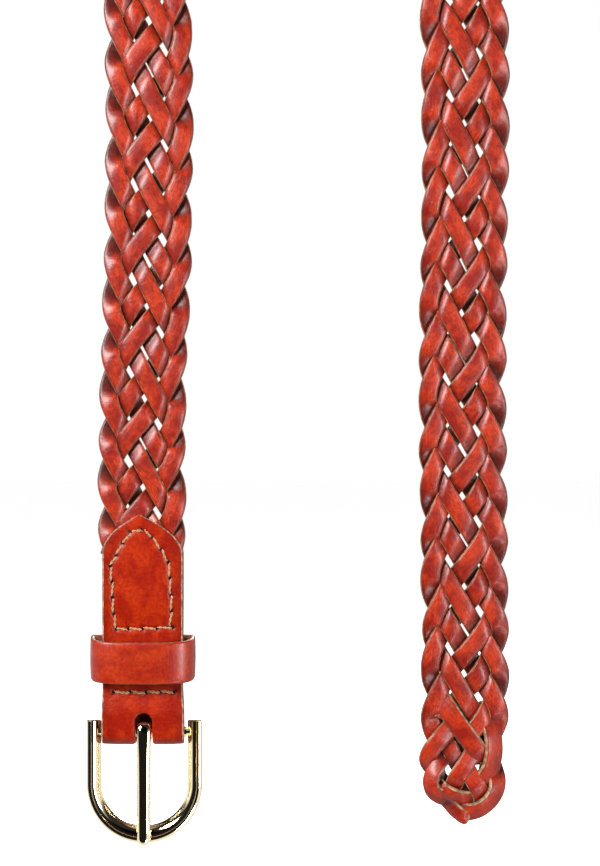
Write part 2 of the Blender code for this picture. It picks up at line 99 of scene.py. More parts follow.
# The knot at the tip: strips turned back and tucked in. Each has its half width and its roll in
# degrees, then points across from the leg's middle, below KNOT_TOP_Z and forward, all in mm.
TIP_X = 53.0 * MM
KNOT_TOP_Z = -470.0 * MM
KNOT_SECTIONS = 70
END_ROUNDING = 1.6 * MM  # over which a strip of the knot narrows to its end
KNOT = {
    "left_lobe": (3.0, 0, [
        (-3.5, 8.0, -0.6), (-6.1, 10.7, 0.9), (-8.2, 13.0, 1.7), (-10.3, 15.4, 1.7),
        (-12.1, 18.2, 1.3), (-12.2, 20.6, 0.2), (-9.8, 23.6, -1.6),
    ]),
    "long_strip": (3.4, 14, [
        (-10.4, -3.3, -1.2), (-7.6, 0.3, 0.4), (-4.9, 4.0, 1.5), (-1.8, 8.5, 2.0), (1.7, 13.0, 2.1),
        (4.6, 17.1, 1.6), (6.8, 20.8, -0.4),
    ]),
    "right_strip": (3.3, -30, [
        (6.6, 0.5, -3.0), (8.4, 6.4, -0.3), (9.7, 11.6, 1.3), (10.0, 17.2, 1.9), (9.0, 22.4, 1.7),
        (6.6, 27.0, 0.3), (4.4, 29.6, -1.2),
    ]),
    "short_strip": (2.9, 0, [(-8.6, 9.5, -1.6), (-4.6, 16.6, 0.4), (-1.4, 23.0, -1.0)]),
    "left_loop": (2.9, 30, [
        (-5.2, 17.6, -1.5), (-8.2, 20.4, 0.4), (-10.5, 24.0, 1.3), (-11.4, 27.4, 1.4),
        (-10.4, 30.6, 1.2), (-7.6, 32.4, 0.1), (-4.0, 33.0, -1.6),
    ]),
    "middle_strip": (3.0, 0, [
        (4.2, 15.4, -0.9), (2.3, 18.6, 0.6), (0.0, 22.2, 1.4), (-2.3, 25.6, 1.3),
        (-4.0, 29.6, -0.8),
    ]),
    "lower_strip": (2.5, 30, [
        (-9.6, 27.6, -1.2), (-7.4, 29.7, 0.5), (-4.2, 31.5, 1.0), (-0.4, 32.7, 0.8),
        (3.6, 33.2, -0.9),
    ]),
    "right_tuck": (3.0, 0, [(-0.6, 20.8, -0.9), (2.2, 25.2, 0.9), (4.3, 28.7, 1.5), (6.6, 33.4, -0.4)]),
    "right_loop": (3.0, -30, [
        (9.0, 19.6, -2.6), (10.2, 23.0, -1.3), (11.3, 26.4, 0.4), (10.9, 30.0, 1.4),
        (8.8, 33.6, 1.7), (5.2, 36.4, 1.6), (1.2, 37.6, 0.4), (-2.4, 37.0, -1.2),
    ]),
    "bottom_strip": (2.4, 26, [
        (-8.6, 30.6, -2.6), (-6.0, 33.6, -0.9), (-3.0, 36.9, 0.6), (-0.3, 39.0, 0.9),
        (1.7, 39.6, 0.3),
    ]),
    # These strips lie behind the others and fill the gaps between them; painted shade makes them dark all
    # over.
    "under_left": (3.2, 0, [(-10.6, 19.0, -1.6), (-8.6, 26.6, -1.6), (-1.0, 34.0, -1.6)]),
    "under_right": (3.4, 0, [(9.6, 18.0, -1.9), (7.4, 28.0, -1.9), (1.0, 35.0, -1.9)]),
    "under_cross": (3.0, 0, [(5.0, 6.0, -2.0), (-4.5, 20.0, -2.0)]),
    "under_rise": (2.8, 0, [(-10.0, 13.0, -1.9), (0.0, 15.5, -1.9), (9.0, 19.0, -1.9)]),
    "under_middle": (2.2, 0, [(-1.6, 26.6, -1.2), (2.4, 32.0, -1.2)]),
    "under_gap": (2.0, 0, [(-4.6, -1.4, -1.5), (3.4, 9.6, -1.8)]),
    "under_left_gap": (1.7, 0, [(-9.4, 3.4, -1.4), (-5.6, 10.2, -1.6)]),
    "under_right_gap": (1.7, 0, [(4.6, 9.6, -1.6), (8.0, 16.6, -1.8)]),
}

# Tab
TAB_X = -54.0 * MM
TAB_WIDTH = 26.8 * MM
TAB_THICKNESS = 1.8 * MM
TAB_POINT_Z = -408.2 * MM
TAB_SHOULDER_Z = -421.5 * MM
TAB_LEAN = -1.2 * MM  # the tab's point lies this far off its middle
TAB_WAIST = 1.98 * MM  # a layer's middle from the mid-plane at the keeper
TAB_SPREAD = 3.0 * MM  # and at the braid and the bar
WAIST_TOP_Z = -448.0 * MM
WAIST_RISE = 12.0 * MM  # above its top, over which the layers part
WAIST_FOOT_Z = -466.0 * MM
WAIST_FALL = 9.0 * MM  # below its foot, over which they part again
TAB_FLARE = 0.3 * MM  # how much wider each side gets there
SLOT_WIDTH = 5.7 * MM
SLOT_TOP_Z = -474.1 * MM
SLOT_BACK_TOP_Z = -477.7 * MM
CUTTER_REACH = 12.0 * MM
SEAM_DIP = 0.30 * MM  # how deep the face is drawn in along the stitches
HOLE_DIP = 0.40 * MM  # and at the needle holes
TAB_PUFF = 0.22 * MM
SLOT_ROLL = 0.55 * MM  # how far the slot's rim is rounded down

# Needle holes of the seams, across and below the tab's point, in mm
UPPER_SEAM = (
    (-8.8, 38.1), (-9.5, 32.9), (-9.9, 27.4), (-10.1, 22.1), (-10.6, 17.1), (-8.7, 13.6),
    (-6.5, 9.6), (-3.7, 5.8), (0.1, 4.9), (3.2, 7.4), (6.2, 11.4), (8.5, 15.7), (9.2, 21.0),
    (9.5, 26.5), (9.7, 32.1), (9.2, 37.3),
)
UPPER_SEAM_FOOT = ((-8.8, 38.1), (-4.7, 38.0), (0.0, 37.9), (4.7, 37.8), (10.0, 37.5))
LOWER_SEAM = ((-9.7, 59.0), (-4.2, 58.9), (1.2, 59.0), (5.8, 58.9), (10.5, 58.9))
UPPER_THREAD = 0.36 * MM  # radius
LOWER_THREAD = 0.46 * MM
STITCH_SLANT = 0.75 * MM
THREAD_TWIST = 3.4 * MM  # length of one turn of the plies
PLY_SHARE = 0.66  # of the thread's radius

# Keeper
KEEPER_TOP_Z = -449.4 * MM
KEEPER_HEIGHT = 13.8 * MM
KEEPER_WIDTH = 34.8 * MM
KEEPER_THICKNESS = 1.5 * MM
KEEPER_FRONT_Y = -8.9 * MM
KEEPER_CORNER = 0.9 * MM
KEEPER_BOW = 0.62  # 1 would bow the front as an ellipse, less makes it squarer
KEEPER_LIFT = 1.1 * MM  # of the back over KEEPER_TOP_Z
KEEPER_DROOP = 2.0 * MM  # of the front below the back
KEEPER_SWELL = 0.18 * MM  # of the band's middle over its edges

# Buckle
BUCKLE_X = -53.6 * MM
BAR_Z = -480.75 * MM
BAR_RADIUS = 1.8 * MM
FRAME_WIDTH = 38.6 * MM
FRAME_TOP_Z = -476.75 * MM
FRAME_STRAIGHT_Z = -498.0 * MM
FRAME_BOTTOM_Z = -517.75 * MM
FRAME_ARM = 4.9 * MM
FRAME_TOE = 5.8 * MM
FRAME_DEPTH = 4.0 * MM
PRONG_WIDTH = 4.8 * MM
TONGUE_HALF = 1.05 * MM  # half the tongue's thickness
PRONG_POINT = 2.4 * MM  # over which the tip is rounded
PRONG_SLIMMING = 0.06
EYE_CLEARANCE = 0.35 * MM
EYE_WALL = 1.5 * MM
EYE_TURN = 250  # degrees of the eye round the bar
EYE_RISE = 1.35  # how much taller than round the eye is over the bar
PRONG_RUN = (  # below and in front of the bar's middle, in mm
    (3.0, 3.00), (6.0, 3.12), (10.0, 3.10), (16.0, 3.02), (23.0, 2.98),
    (30.0, 3.02), (34.0, 3.08), (36.2, 3.05), (37.1, 2.92), (37.45, 2.75),
)

# Leathers: deep, base and light tone, streaks, roughness, raw tan, grain, specular and coat
LEATHERS = {
    "braid_leather": (
        ((0.10, 0.004, 0.003), (0.37, 0.015, 0.005), (0.70, 0.050, 0.010)),
        0.50, 0.32, (0.54, 0.24, 0.11), (520.0, 1900.0), 0.27, 0.50,
    ),
    "tab_leather": (
        ((0.20, 0.005, 0.001), (0.41, 0.012, 0.001), (0.58, 0.034, 0.002)),
        0.40, 0.33, (0.75, 0.44, 0.30), (800.0, 900.0), 0.18, 0.14,
    ),
    "keeper_leather": (
        ((0.22, 0.006, 0.001), (0.44, 0.016, 0.001), (0.60, 0.042, 0.003)),
        0.40, 0.33, (0.34, 0.13, 0.07), (800.0, 900.0), 0.25, 0.60,
    ),
    "knot_leather": (
        ((0.10, 0.004, 0.003), (0.38, 0.016, 0.005), (0.68, 0.045, 0.008)),
        0.42, 0.32, (0.66, 0.40, 0.22), (520.0, 1900.0), 0.27, 0.50,
    ),
}

# View and light
VIEW_CENTRE = Vector((-1.7 * MM, 0.0, -381.1 * MM))
VIEW_HEIGHT = 288.7 * MM
CAMERA_DISTANCE = 0.80
FLOOR_Z = -0.56
FLOOR_HALF = 8
FLOOR_GLOW = 0.9
WORLD_LIGHT = 0.08  # strength of the studio's walls as a light
DARK_SIDE = (-0.26, -0.965, 0.0)  # where shiny surfaces mirror a dark part of the studio
LIGHT_TARGET = (0.0, 0.0, -0.38)
LIGHTS = {  # place, size and power
    "key": ((-0.62, -0.78, 0.12), (0.26, 0.38), 14.0),
    "side": ((0.62, -0.80, -0.45), (0.20, 0.45), 6.6),
    "low": ((0.38, -0.75, -1.00), (0.28, 0.3), 6.8),
    "rim": ((0.2, 0.9, 0.25), (0.8, 0.4), 13.0),
}

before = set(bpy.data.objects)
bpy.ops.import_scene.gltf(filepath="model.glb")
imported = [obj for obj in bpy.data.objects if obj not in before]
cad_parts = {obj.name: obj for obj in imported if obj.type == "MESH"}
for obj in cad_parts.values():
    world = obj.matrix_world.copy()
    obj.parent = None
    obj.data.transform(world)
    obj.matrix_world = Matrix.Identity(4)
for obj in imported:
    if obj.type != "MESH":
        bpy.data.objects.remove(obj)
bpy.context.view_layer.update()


# Small tools


def smoothstep(t):
    t = np.clip(t, 0.0, 1.0)
    return t * t * (3 - 2 * t)


def bell(distance, width):
    return np.exp(-((distance / width) ** 2))


def distance_along(line):
    """How far along an open line each of its points lies."""
    return np.r_[0, np.cumsum(np.linalg.norm(np.diff(line, axis=0), axis=1))]


def right_of(ahead):
    """Unit directions square to these, on their right, in the plane of the first two axes."""
    ahead = ahead / np.linalg.norm(ahead[:, :2], axis=1)[:, None]
    return np.column_stack((ahead[:, 1], -ahead[:, 0]))


def evenly(line, count, endpoint=True):
    """Evenly spaced points along an open line, the last one at its end or a step before it."""
    run = distance_along(line)
    places = np.linspace(0, run[-1], count, endpoint=endpoint)
    return np.column_stack([np.interp(places, run, column) for column in line.T])


def smooth_open(places, count):
    """A smooth run of evenly spaced points through an open line's points."""
    line = evenly(places, count)
    for _ in range(count // 4):
        line[1:-1] = (line[:-2] + 2 * line[1:-1] + line[2:]) / 4
    return line


def linked_object(name, data):
    obj = bpy.data.objects.new(name, data)
    bpy.context.scene.collection.objects.link(obj)
    return obj


def new_object(name, points, faces, mat, smooth_angle=None):
    mesh = bpy.data.meshes.new(name)
    mesh.from_pydata(np.reshape(points, (-1, 3)).tolist(), [], faces)
    mesh.materials.append(mat)
    mesh.shade_smooth()
    if smooth_angle is not None:
        mesh.set_sharp_from_angle(angle=math.radians(smooth_angle))
    return linked_object(name, mesh)


def grid_faces(rings, per_ring, closed_run=False):
    """Quads over rings of points, wound so that a right-handed ring faces out."""
    faces = []
    runs = rings if closed_run else rings - 1
    for i in range(runs):
        a = i * per_ring
        b = ((i + 1) % rings) * per_ring
        for j in range(per_ring):
            k = (j + 1) % per_ring
            faces.append((a + j, a + k, b + k, b + j))
    if not closed_run:
        faces.append(tuple(range(per_ring - 1, -1, -1)))
        faces.append(tuple(range((rings - 1) * per_ring, rings * per_ring)))
    return faces


def face_out(obj):
    bm = bmesh.new()
    bm.from_mesh(obj.data)
    bmesh.ops.recalc_face_normals(bm, faces=bm.faces)
    bm.to_mesh(obj.data)
    bm.free()


def add_uv(obj, along, across):
    """UV in metres: along the leather's grain, and across it."""
    layer = obj.data.uv_layers.new(name="grain")
    loops = np.empty(len(obj.data.loops), np.int32)
    obj.data.loops.foreach_get("vertex_index", loops)
    uv = np.column_stack((along, across))[loops]
    layer.data.foreach_set("uv", uv.astype(np.float32).ravel())


def add_leather_values(obj, along, across, cut, flesh, under):
    """What a leather reads, by ring and point: its grain, cut edges, flesh side and painted shade (the
    under value).
    """
    along, across, cut, flesh, under = np.broadcast_arrays(along, across, cut, flesh, under)
    add_uv(obj, along.ravel(), across.ravel())
    for name, values in (("cut", cut), ("flesh", flesh), ("under", under)):
        layer = obj.data.attributes.new(name, "FLOAT", "POINT")
        layer.data.foreach_set("value", values.astype(np.float32).ravel())


# Materials


class Nodes:
    """Short hand for building a node tree."""

    def __init__(self, tree):
        self.tree = tree

    def add(self, kind, settings=None, **inputs):
        node = self.tree.nodes.new(kind)
        for key, value in (settings or {}).items():
            setattr(node, key, value)
        for key, value in inputs.items():
            self.feed(node, key.replace("_", " "), value)
        return node

    def feed(self, node, key, value):
        """Gives an input a value, a socket or the first output of a node."""
        socket = node.inputs[key]
        if isinstance(value, bpy.types.NodeSocket):
            self.tree.links.new(value, socket)
        elif isinstance(value, bpy.types.Node):
            self.tree.links.new(value.outputs[0], socket)
        elif socket.type == "RGBA":
            socket.default_value = (*value, 1.0)
        else:
            socket.default_value = value

    def math(self, operation, a, b):
        node = self.add("ShaderNodeMath", {"operation": operation})
        self.feed(node, 0, a)
        self.feed(node, 1, b)
        return node

    def times(self, a, b):
        return self.math("MULTIPLY", a, b)

    def plus(self, a, b):
        return self.math("ADD", a, b)

    def mix(self, factor, a, b):
        node = self.add("ShaderNodeMix", {"data_type": "RGBA"})
        self.feed(node, 0, factor)
        self.feed(node, 6, a)
        self.feed(node, 7, b)
        return node.outputs[2]

    def ramp(self, value, start, end, low=0.0, high=1.0):
        """A smooth step from low to high."""
        node = self.add("ShaderNodeMapRange", {"interpolation_type": "SMOOTHSTEP"})
        for i, part in enumerate((value, start, end, low, high)):
            self.feed(node, i, part)
        return node

    def attribute(self, name):
        return self.add("ShaderNodeAttribute", {"attribute_name": name}).outputs["Fac"]

    def noise(self, vector, scale, detail, rough=0.55):
        return self.add("ShaderNodeTexNoise", Vector=vector, Scale=scale, Detail=detail, Roughness=rough)

    def stretched(self, vector, scale):
        return self.add("ShaderNodeMapping", Vector=vector, Scale=scale)


class Surface(Nodes):
    """The nodes of a new material."""

    def __init__(self, name):
        self.mat = bpy.data.materials.new(name)
        self.mat.use_nodes = True
        super().__init__(self.mat.node_tree)

    def finish(self, **inputs):
        """The material, its shader fed with these inputs."""
        for key, value in inputs.items():
            self.feed(self.tree.nodes["Principled BSDF"], key.replace("_", " "), value)
        return self.mat


def leather_face(n, uv, fine, creases, tones, streaks):
    """The dyed grain face: broad clouds and streaks along it, painted shade in its creases and painted
    shade where its under value is high.
    """
    deep, base, light = tones
    broad = n.noise(n.stretched(uv, (110.0, 170.0, 1.0)), 1.0, 3.0, 0.55)
    colour = n.mix(n.ramp(broad, 0.38, 0.62), base, light)
    streak = n.times(n.ramp(fine, 0.38, 0.60, 1.0, 0.0), streaks)
    colour = n.mix(streak, colour, deep)
    # painted shade in the creases: darker where the crease noise, and so the bump, is low
    fold = n.times(n.ramp(creases, 0.34, 0.50, 1.0, 0.0), 0.6 * streaks)
    colour = n.mix(fold, colour, deep)
    # painted shade: towards a third of the deep tone where the under value is high
    low = n.times(n.attribute("under"), 0.85)
    return n.mix(low, colour, [0.35 * c for c in deep])


def leather_edge(n, uv, colour, raw_tan):
    """The face's colour, with raw tan where the leather is cut and a frayed border."""
    edge_noise = n.noise(n.stretched(uv, (420.0, 1200.0, 1.0)), 1.0, 3.0, 0.6)
    dark_tan = [0.36 * c for c in raw_tan]
    raw = n.mix(n.ramp(edge_noise, 0.40, 0.62), dark_tan, raw_tan)
    fray = n.times(n.math("SUBTRACT", edge_noise, 0.5), 0.5)
    worn = n.plus(n.attribute("cut"), fray)
    return n.mix(n.ramp(worn, 0.45, 0.72), colour, raw)


def leather_bump(n, uv, fine, creases):
    pores = n.noise(n.stretched(uv, (1500.0, 2600.0, 1.0)), 1.0, 2.0, 0.6)
    height = n.plus(n.times(fine, 0.40), n.times(pores, 0.40))
    height = n.plus(height, n.times(creases, 0.70))
    return n.add("ShaderNodeBump", Strength=0.65, Distance=0.00034, Height=height)


def leather_material(name, tones, streaks, roughness, raw_tan, grain, specular, coat):
    """Dyed leather: grain face with streaks along it, raw tan edges and a suede underside."""
    n = Surface(name)
    uv = n.add("ShaderNodeUVMap", {"uv_map": "grain"})
    fine = n.noise(n.stretched(uv, (*grain, 1.0)), 1.0, 4.0, 0.65)
    creases = n.noise(n.stretched(uv, (1100.0, 330.0, 1.0)), 1.0, 3.0, 0.6)
    colour = leather_face(n, uv, fine, creases, tones, streaks)
    colour = leather_edge(n, uv, colour, raw_tan)
    suede = n.mix(fine, (0.16, 0.035, 0.016), (0.34, 0.095, 0.045))
    back = n.attribute("flesh")
    colour = n.mix(back, colour, suede)
    rough = n.plus(n.times(fine, 0.14), roughness - 0.07)
    rough = n.plus(rough, n.times(n.attribute("cut"), 0.28))
    rough = n.plus(rough, n.times(back, 0.35))
    bump = leather_bump(n, uv, fine, creases)
    return n.finish(
        Base_Color=colour, Roughness=rough, Normal=bump,
        Specular_IOR_Level=specular, Coat_Weight=coat, Coat_Roughness=0.31,
    )


def gold_material():
    """Polished pale gold plating with the faintest of hairlines."""
    n = Surface("pale_gold")
    place = n.add("ShaderNodeTexCoord").outputs["Object"]
    wear = n.noise(place, 260.0, 4.0, 0.6)
    hair = n.noise(n.stretched(place, (3000.0, 600.0, 300.0)), 1.0, 2.0, 0.5)
    colour = n.mix(n.ramp(wear, 0.4, 0.7), (0.93, 0.78, 0.52), (0.96, 0.86, 0.66))
    rough = n.plus(n.times(wear, 0.06), 0.035)
    bump = n.add("ShaderNodeBump", Strength=0.04, Distance=0.00003, Height=hair)
    return n.finish(Base_Color=colour, Roughness=rough, Metallic=1.0, Normal=bump)


def thread_material():
    """Waxed thread: two plies twisted round each other, with painted shade in the grooves of the twist.
    """
    n = Surface("tan_thread")
    uv = n.add("ShaderNodeUVMap", {"uv_map": "grain"})
    plies = n.add("ShaderNodeTexWave", {"bands_direction": "DIAGONAL"}, Scale=1.0, Distortion=0.6)
    n.feed(plies, "Vector", n.stretched(uv, (900.0, 500.0, 1.0)))
    fuzz = n.noise(n.stretched(uv, (3000.0, 3000.0, 1.0)), 1.0, 2.0, 0.6)
    # the wave's dark bands are painted shade in the grooves of the twist
    colour = n.mix(plies.outputs["Fac"], (0.34, 0.14, 0.05), (0.80, 0.50, 0.26))
    colour = n.mix(n.times(fuzz, 0.5), colour, (0.78, 0.52, 0.30))
    bump = n.add("ShaderNodeBump", Strength=0.6, Distance=0.00012, Height=plies.outputs["Fac"])
    return n.finish(Base_Color=colour, Roughness=0.62, Normal=bump)


def hole_shade_material():
    """Painted shade for the inside of a needle hole: near-black, mottled."""
    n = Surface("needle_hole_shade")
    place = n.add("ShaderNodeTexCoord").outputs["Object"]
    shade = n.noise(place, 900.0, 2.0, 0.5)
    colour = n.mix(shade, (0.012, 0.002, 0.001), (0.040, 0.008, 0.004))
    return n.finish(Base_Color=colour, Roughness=0.9, Specular_IOR_Level=0.1)


def floor_material():
    n = Surface("studio_floor")
    place = n.add("ShaderNodeTexCoord").outputs["Object"]
    grey = n.mix(n.noise(place, 3.0, 2.0), (0.93, 0.93, 0.93), (0.96, 0.96, 0.96))
    white = (1.0, 1.0, 1.0)
    return n.finish(
        Base_Color=grey, Roughness=0.9, Emission_Color=white, Emission_Strength=FLOOR_GLOW
    )


# The strap's path


def leg_x(z, side):
    """The leg's middle at height z: each leg sways a little about a plumb line."""
    reach, crest_z, half_wave, shift = SWAY[side]
    sway = reach * np.cos(np.pi * (z - crest_z) / half_wave) + shift
    return side * ARCH_RADIUS + smoothstep((SWAY_START - z) / SWAY_FADE) * sway


def strap_points(s, u, n):
    """World places of points of the strap from their places along, across and out of it."""
    s, u, n = np.broadcast_arrays(s, u, n)
    angle = s / ARCH_RADIUS
    radius = ARCH_RADIUS + n
    arch = np.stack((radius * np.sin(angle), -u, ARCH_CENTRE_Z + radius * np.cos(angle)), axis=-1)
    side = np.where(s < 0, -1.0, 1.0)
    drop = np.abs(s) - ARCH_QUARTER
    z = ARCH_CENTRE_Z - drop
    part = np.clip(drop / LEG_TURN_LENGTH, 0.0, 1.0)
    turn = np.pi / 2 * (part - 0.25 * np.sin(2 * np.pi * part) / (2 * np.pi))
    middle = np.where(s < 0, leg_x(z, -1), leg_x(z, 1))
    x = middle + side * (n * np.cos(turn) - u * np.sin(turn))
    y = -u * np.cos(turn) - n * np.sin(turn)
    leg = np.stack((x, y, z), axis=-1)
    return np.where((np.abs(s) <= ARCH_QUARTER)[..., None], arch, leg)


# The braid


def row_s(row):
    before = np.minimum(row, 0.0)
    past = np.maximum(row - EVEN_ROWS, 0.0)
    return FIRST_ROW_S + ROW_PITCH * row + BUCKLE_TIGHTENING * before**2 - TIP_TIGHTENING * past**2


def step_s(step, u):
    row = (step - 3) / 2
    lean = np.interp(row, list(ROW_LEAN), list(ROW_LEAN.values()))
    return row_s(row) - lean * u


def step_at(s):
    steps = np.arange(-60.0, 140.0, 0.01)
    return float(np.interp(s, step_s(steps, 0.0), steps))


def strand_u(phase):
    swing = TURN_SHARPNESS * np.sin(np.pi * (phase - 3) / CROSS_STEPS)
    return BRAID_REACH * np.arcsin(swing) / math.asin(TURN_SHARPNESS)


def lattice_lean(u):
    return LATTICE_LEAN * u + MIDDLE_LEAN * BRAID_REACH / np.pi * np.sin(np.pi * u / BRAID_REACH)


def centreline(phases):
    u = strand_u(phases)
    return np.column_stack((u, phases * ROW_PITCH / 2 - lattice_lean(u)))


def normals(phases):
    return right_of(centreline(phases + 0.01) - centreline(phases - 0.01))


def band_ends(crossing, side):
    """Phases where a strand's edge goes into and out of the strand it crosses there."""
    phases = np.arange(crossing - 1.6, crossing + 1.6, 0.01)
    edge = centreline(phases) + side * SEEN_WIDTH / 2 * normals(phases)
    met = centreline(CYCLE - crossing + np.arange(-2.6, 2.6, 0.01))
    met[:, 1] += (2 * crossing - CYCLE) * ROW_PITCH / 2
    apart = np.linalg.norm(edge[:, None, :] - met[None, :, :], axis=2).min(axis=1)
    inside = np.flatnonzero(apart < SEEN_WIDTH / 2)
    return phases[inside[0]], phases[inside[-1]]


def level_table(bands, over_middle, across):
    """Phases and levels of a strand's over and under stretches, at a share across its width."""
    stretches = []
    for crossing, ((left_in, left_out), (right_in, right_out)) in bands.items():
        level = [-1, 1, 1 if over_middle else -1, -1, 1][crossing % CROSS_STEPS - 1]
        enter = left_in + (right_in - left_in) * across
        leave = left_out + (right_out - left_out) * across
        stretches += [[enter + turn, leave + turn, level] for turn in (-CYCLE, 0, CYCLE)]
    stretches.sort()
    for here, after in zip(stretches, stretches[1:]):
        if here[1] > after[0] - STEEPEST:
            middle = (here[1] + after[0]) / 2
            here[1] = middle - STEEPEST / 2
            after[0] = middle + STEEPEST / 2
    phases = [end for enter, leave, _ in stretches for end in (enter, leave)]
    return np.array(phases), np.repeat([float(level) for _, _, level in stretches], 2)


def blurred(values, width):
    """A periodic run of values smoothed by a bell of the given width in samples."""
    reach = int(3 * width)
    bell = np.exp(-0.5 * (np.arange(-reach, reach + 1) / width) ** 2)
    bell /= bell.sum()
    padded = np.concatenate([values[-reach:], values, values[:reach]])
    return np.convolve(padded, bell, "valid")


def level_maps():
    """For strands over and under at the middle: sharp and soft levels by column and phase."""
    bands = {phase: (band_ends(phase, -1), band_ends(phase, 1)) for phase in CROSSINGS}
    maps = {}
    phases = np.arange(LEVEL_SAMPLES) * CYCLE / LEVEL_SAMPLES
    per_step = LEVEL_SAMPLES / CYCLE
    for over_middle in (False, True):
        sharp = []
        soft = []
        for column in range(PROFILE_COLUMNS):
            known, levels = level_table(bands, over_middle, column / (PROFILE_COLUMNS - 1))
            order = np.argsort(known)
            raw = np.interp(phases, known[order], levels[order])
            sharp.append(blurred(raw, SHARP_BLUR * per_step))
            soft.append(blurred(raw, SOFT_BLUR * per_step))
        maps[over_middle] = (np.array(sharp), np.array(soft))
    return maps


def sample(table, phase, share):
    """Bilinear reading of a level map at a phase and a share across the strand."""
    p = (phase % CYCLE) * LEVEL_SAMPLES / CYCLE
    p0 = np.floor(p).astype(int) % LEVEL_SAMPLES
    p1 = (p0 + 1) % LEVEL_SAMPLES
    fp = p - np.floor(p)
    c = np.clip(share, 0, 1) * (PROFILE_COLUMNS - 1)
    c0 = np.minimum(np.floor(c).astype(int), PROFILE_COLUMNS - 2)
    fc = c - c0
    low = table[c0, p0] * (1 - fp) + table[c0, p1] * fp
    high = table[c0 + 1, p0] * (1 - fp) + table[c0 + 1, p1] * fp
    return low * (1 - fc) + high * fc


def section_outline():
    """Round a strip's section: place across from -0.5 to 0.5, height, cut and flesh shares."""
    half = LEATHER_THICKNESS / MM / 2
    right = [
        (0, half, 0, 0),
        (0.16, half - 0.01, 0, 0),
        (0.30, half - 0.04, 0, 0),
        (0.39, half - 0.09, 0, 0),
        (0.435, half - 0.16, 0.25, 0),
        (0.468, half - 0.34, 1, 0),
        (0.49, half - 0.62, 1, 0),
        (0.495, -half + 0.38, 1, 0.2),
        (0.47, -half + 0.10, 0.7, 0.6),
        (0.40, -half, 0, 1),
        (0.15, -half - 0.02, 0, 1),
    ]
    left = [(-x, y, cut, flesh) for x, y, cut, flesh in reversed(right[1:])]
    x, height, cut, flesh = np.array(right + left).T
    return x, height * MM, cut, flesh


def rim_shade(x):
    """Painted shade of a strip's face at places across it, from -0.5 to 0.5: darker towards its edges."""
    return RIM_SHADE * smoothstep((np.abs(x) - 0.35) / 0.11)


def strand_noise(steps, from_step, to_step, rng):
    """How a strand's width, place across and height wander along it."""
    knots = np.arange(from_step - 4, to_step + 5, NOISE_STEPS)
    sizes = (WIDTH_NOISE, SHIFT_NOISE, RISE_NOISE)
    return [np.interp(steps, knots, rng.normal(0, size, len(knots))) for size in sizes]


def strand_width(strand, phases, width_noise, shift_noise):
    """A strand's width, and how far it lies off its centreline."""
    at_turn = np.cos(np.pi * (phases - 3) / CROSS_STEPS + np.pi / 2) ** 8
    slack = np.clip(np.sin(np.pi * (phases - CROSS_STEPS) / CROSS_STEPS) * 2, 0, 1) * (strand % 2 == 0)
    tuck = np.clip(np.sin(np.pi * phases / CROSS_STEPS) * 2, 0, 1)
    width = SEEN_WIDTH * (1.0 + width_noise - TURN_PINCH * at_turn - SLACK_PINCH * slack)
    return width, shift_noise + SLACK_SHIFT * slack + TUCK_SHIFT[strand % 2] * tuck


def strand_piece(name, strand, from_step, to_step, maps, mat, rng, bare):
    """One strand between two steps: a draped, crowned strip, with less painted shade over its bare last
    steps.
    """
    steps = np.arange(from_step, to_step + SECTION_STEP / 2, SECTION_STEP)
    phases = steps - 2 * strand
    x, height, cut, flesh = section_outline()
    width_noise, shift_noise, rise_noise = strand_noise(steps, from_step, to_step, rng)
    width, shift = strand_width(strand, phases, width_noise, shift_noise)
    middle = centreline(phases)
    normal = normals(phases)
    reach = x * width[:, None] + shift[:, None]
    u = middle[:, None, 0] + reach * normal[:, None, 0]
    along = middle[:, None, 1] + reach * normal[:, None, 1]
    step = along / (ROW_PITCH / 2) + 2 * strand
    share = x + 0.5 + 0 * u
    phase_grid = np.broadcast_to(phases[:, None], u.shape)
    sharp, soft = [sample(table, phase_grid, share) for table in maps[strand % 2 == 0]]
    level = SHARP_SHARE * sharp + SOFT_SHARE * soft
    crown = CROWN * np.maximum(1 - (2 * x) ** 2, 0)
    n = LEVEL * level + height + crown + rise_noise[:, None]
    points = strap_points(step_s(step, u), u, n)
    obj = new_object(name, points, grid_faces(len(steps), len(x)), mat)
    face_out(obj)
    # painted shade: darker where the strand dips towards and under those it crosses, faded over its bare
    # last steps, and darker towards its edges
    shade = np.clip(0.45 * (1 - sharp) - 0.35 * soft, 0, 1)
    shade *= smoothstep((to_step - steps) / bare)[:, None]
    shade = np.minimum(shade + rim_shade(x), 1)
    run = distance_along(middle) + strand * 0.37
    add_leather_values(obj, run[:, None], x * SEEN_WIDTH, cut, flesh, shade)
    return obj


def nearest_under(strand, step):
    """The step near this one where the strand passes under another, so that a joint is hidden."""
    phases = [1, 4, 7, 10] + ([] if strand % 2 == 0 else [3, 9])
    places = [2 * strand + CYCLE * turn + phase for turn in range(-6, 14) for phase in phases]
    return float(min(places, key=lambda place: abs(place - step)))


def make_braid(leather):
    """Each strand is two pieces that meet under a crossing at the top of the arch."""
    rng = np.random.default_rng(7)
    maps = level_maps()
    first = step_at(-(ARCH_QUARTER + ARCH_CENTRE_Z - BRAID_END_Z))
    last = step_at(ARCH_QUARTER + ARCH_CENTRE_Z - LATTICE_END_Z)
    top = step_at(0.0)
    for strand in range(STRAND_COUNT):
        number = strand + 1
        meet = nearest_under(strand, top)
        finish = last - KNOT_TRIM.get(strand, 0.0)
        left = strand_piece(f"strand_{number}_left", strand, first, meet, maps, leather, rng, COVERED_END)
        right = strand_piece(f"strand_{number}_right", strand, meet, finish, maps, leather, rng, BARE_END)
        for obj, side, leg in ((left, -1, "buckle_leg"), (right, 1, "tip_leg")):
            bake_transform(obj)
        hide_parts(f"strand_{number}_top", f"strand_{number}_buckle_leg")
        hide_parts(f"strand_{number}_tip_leg")


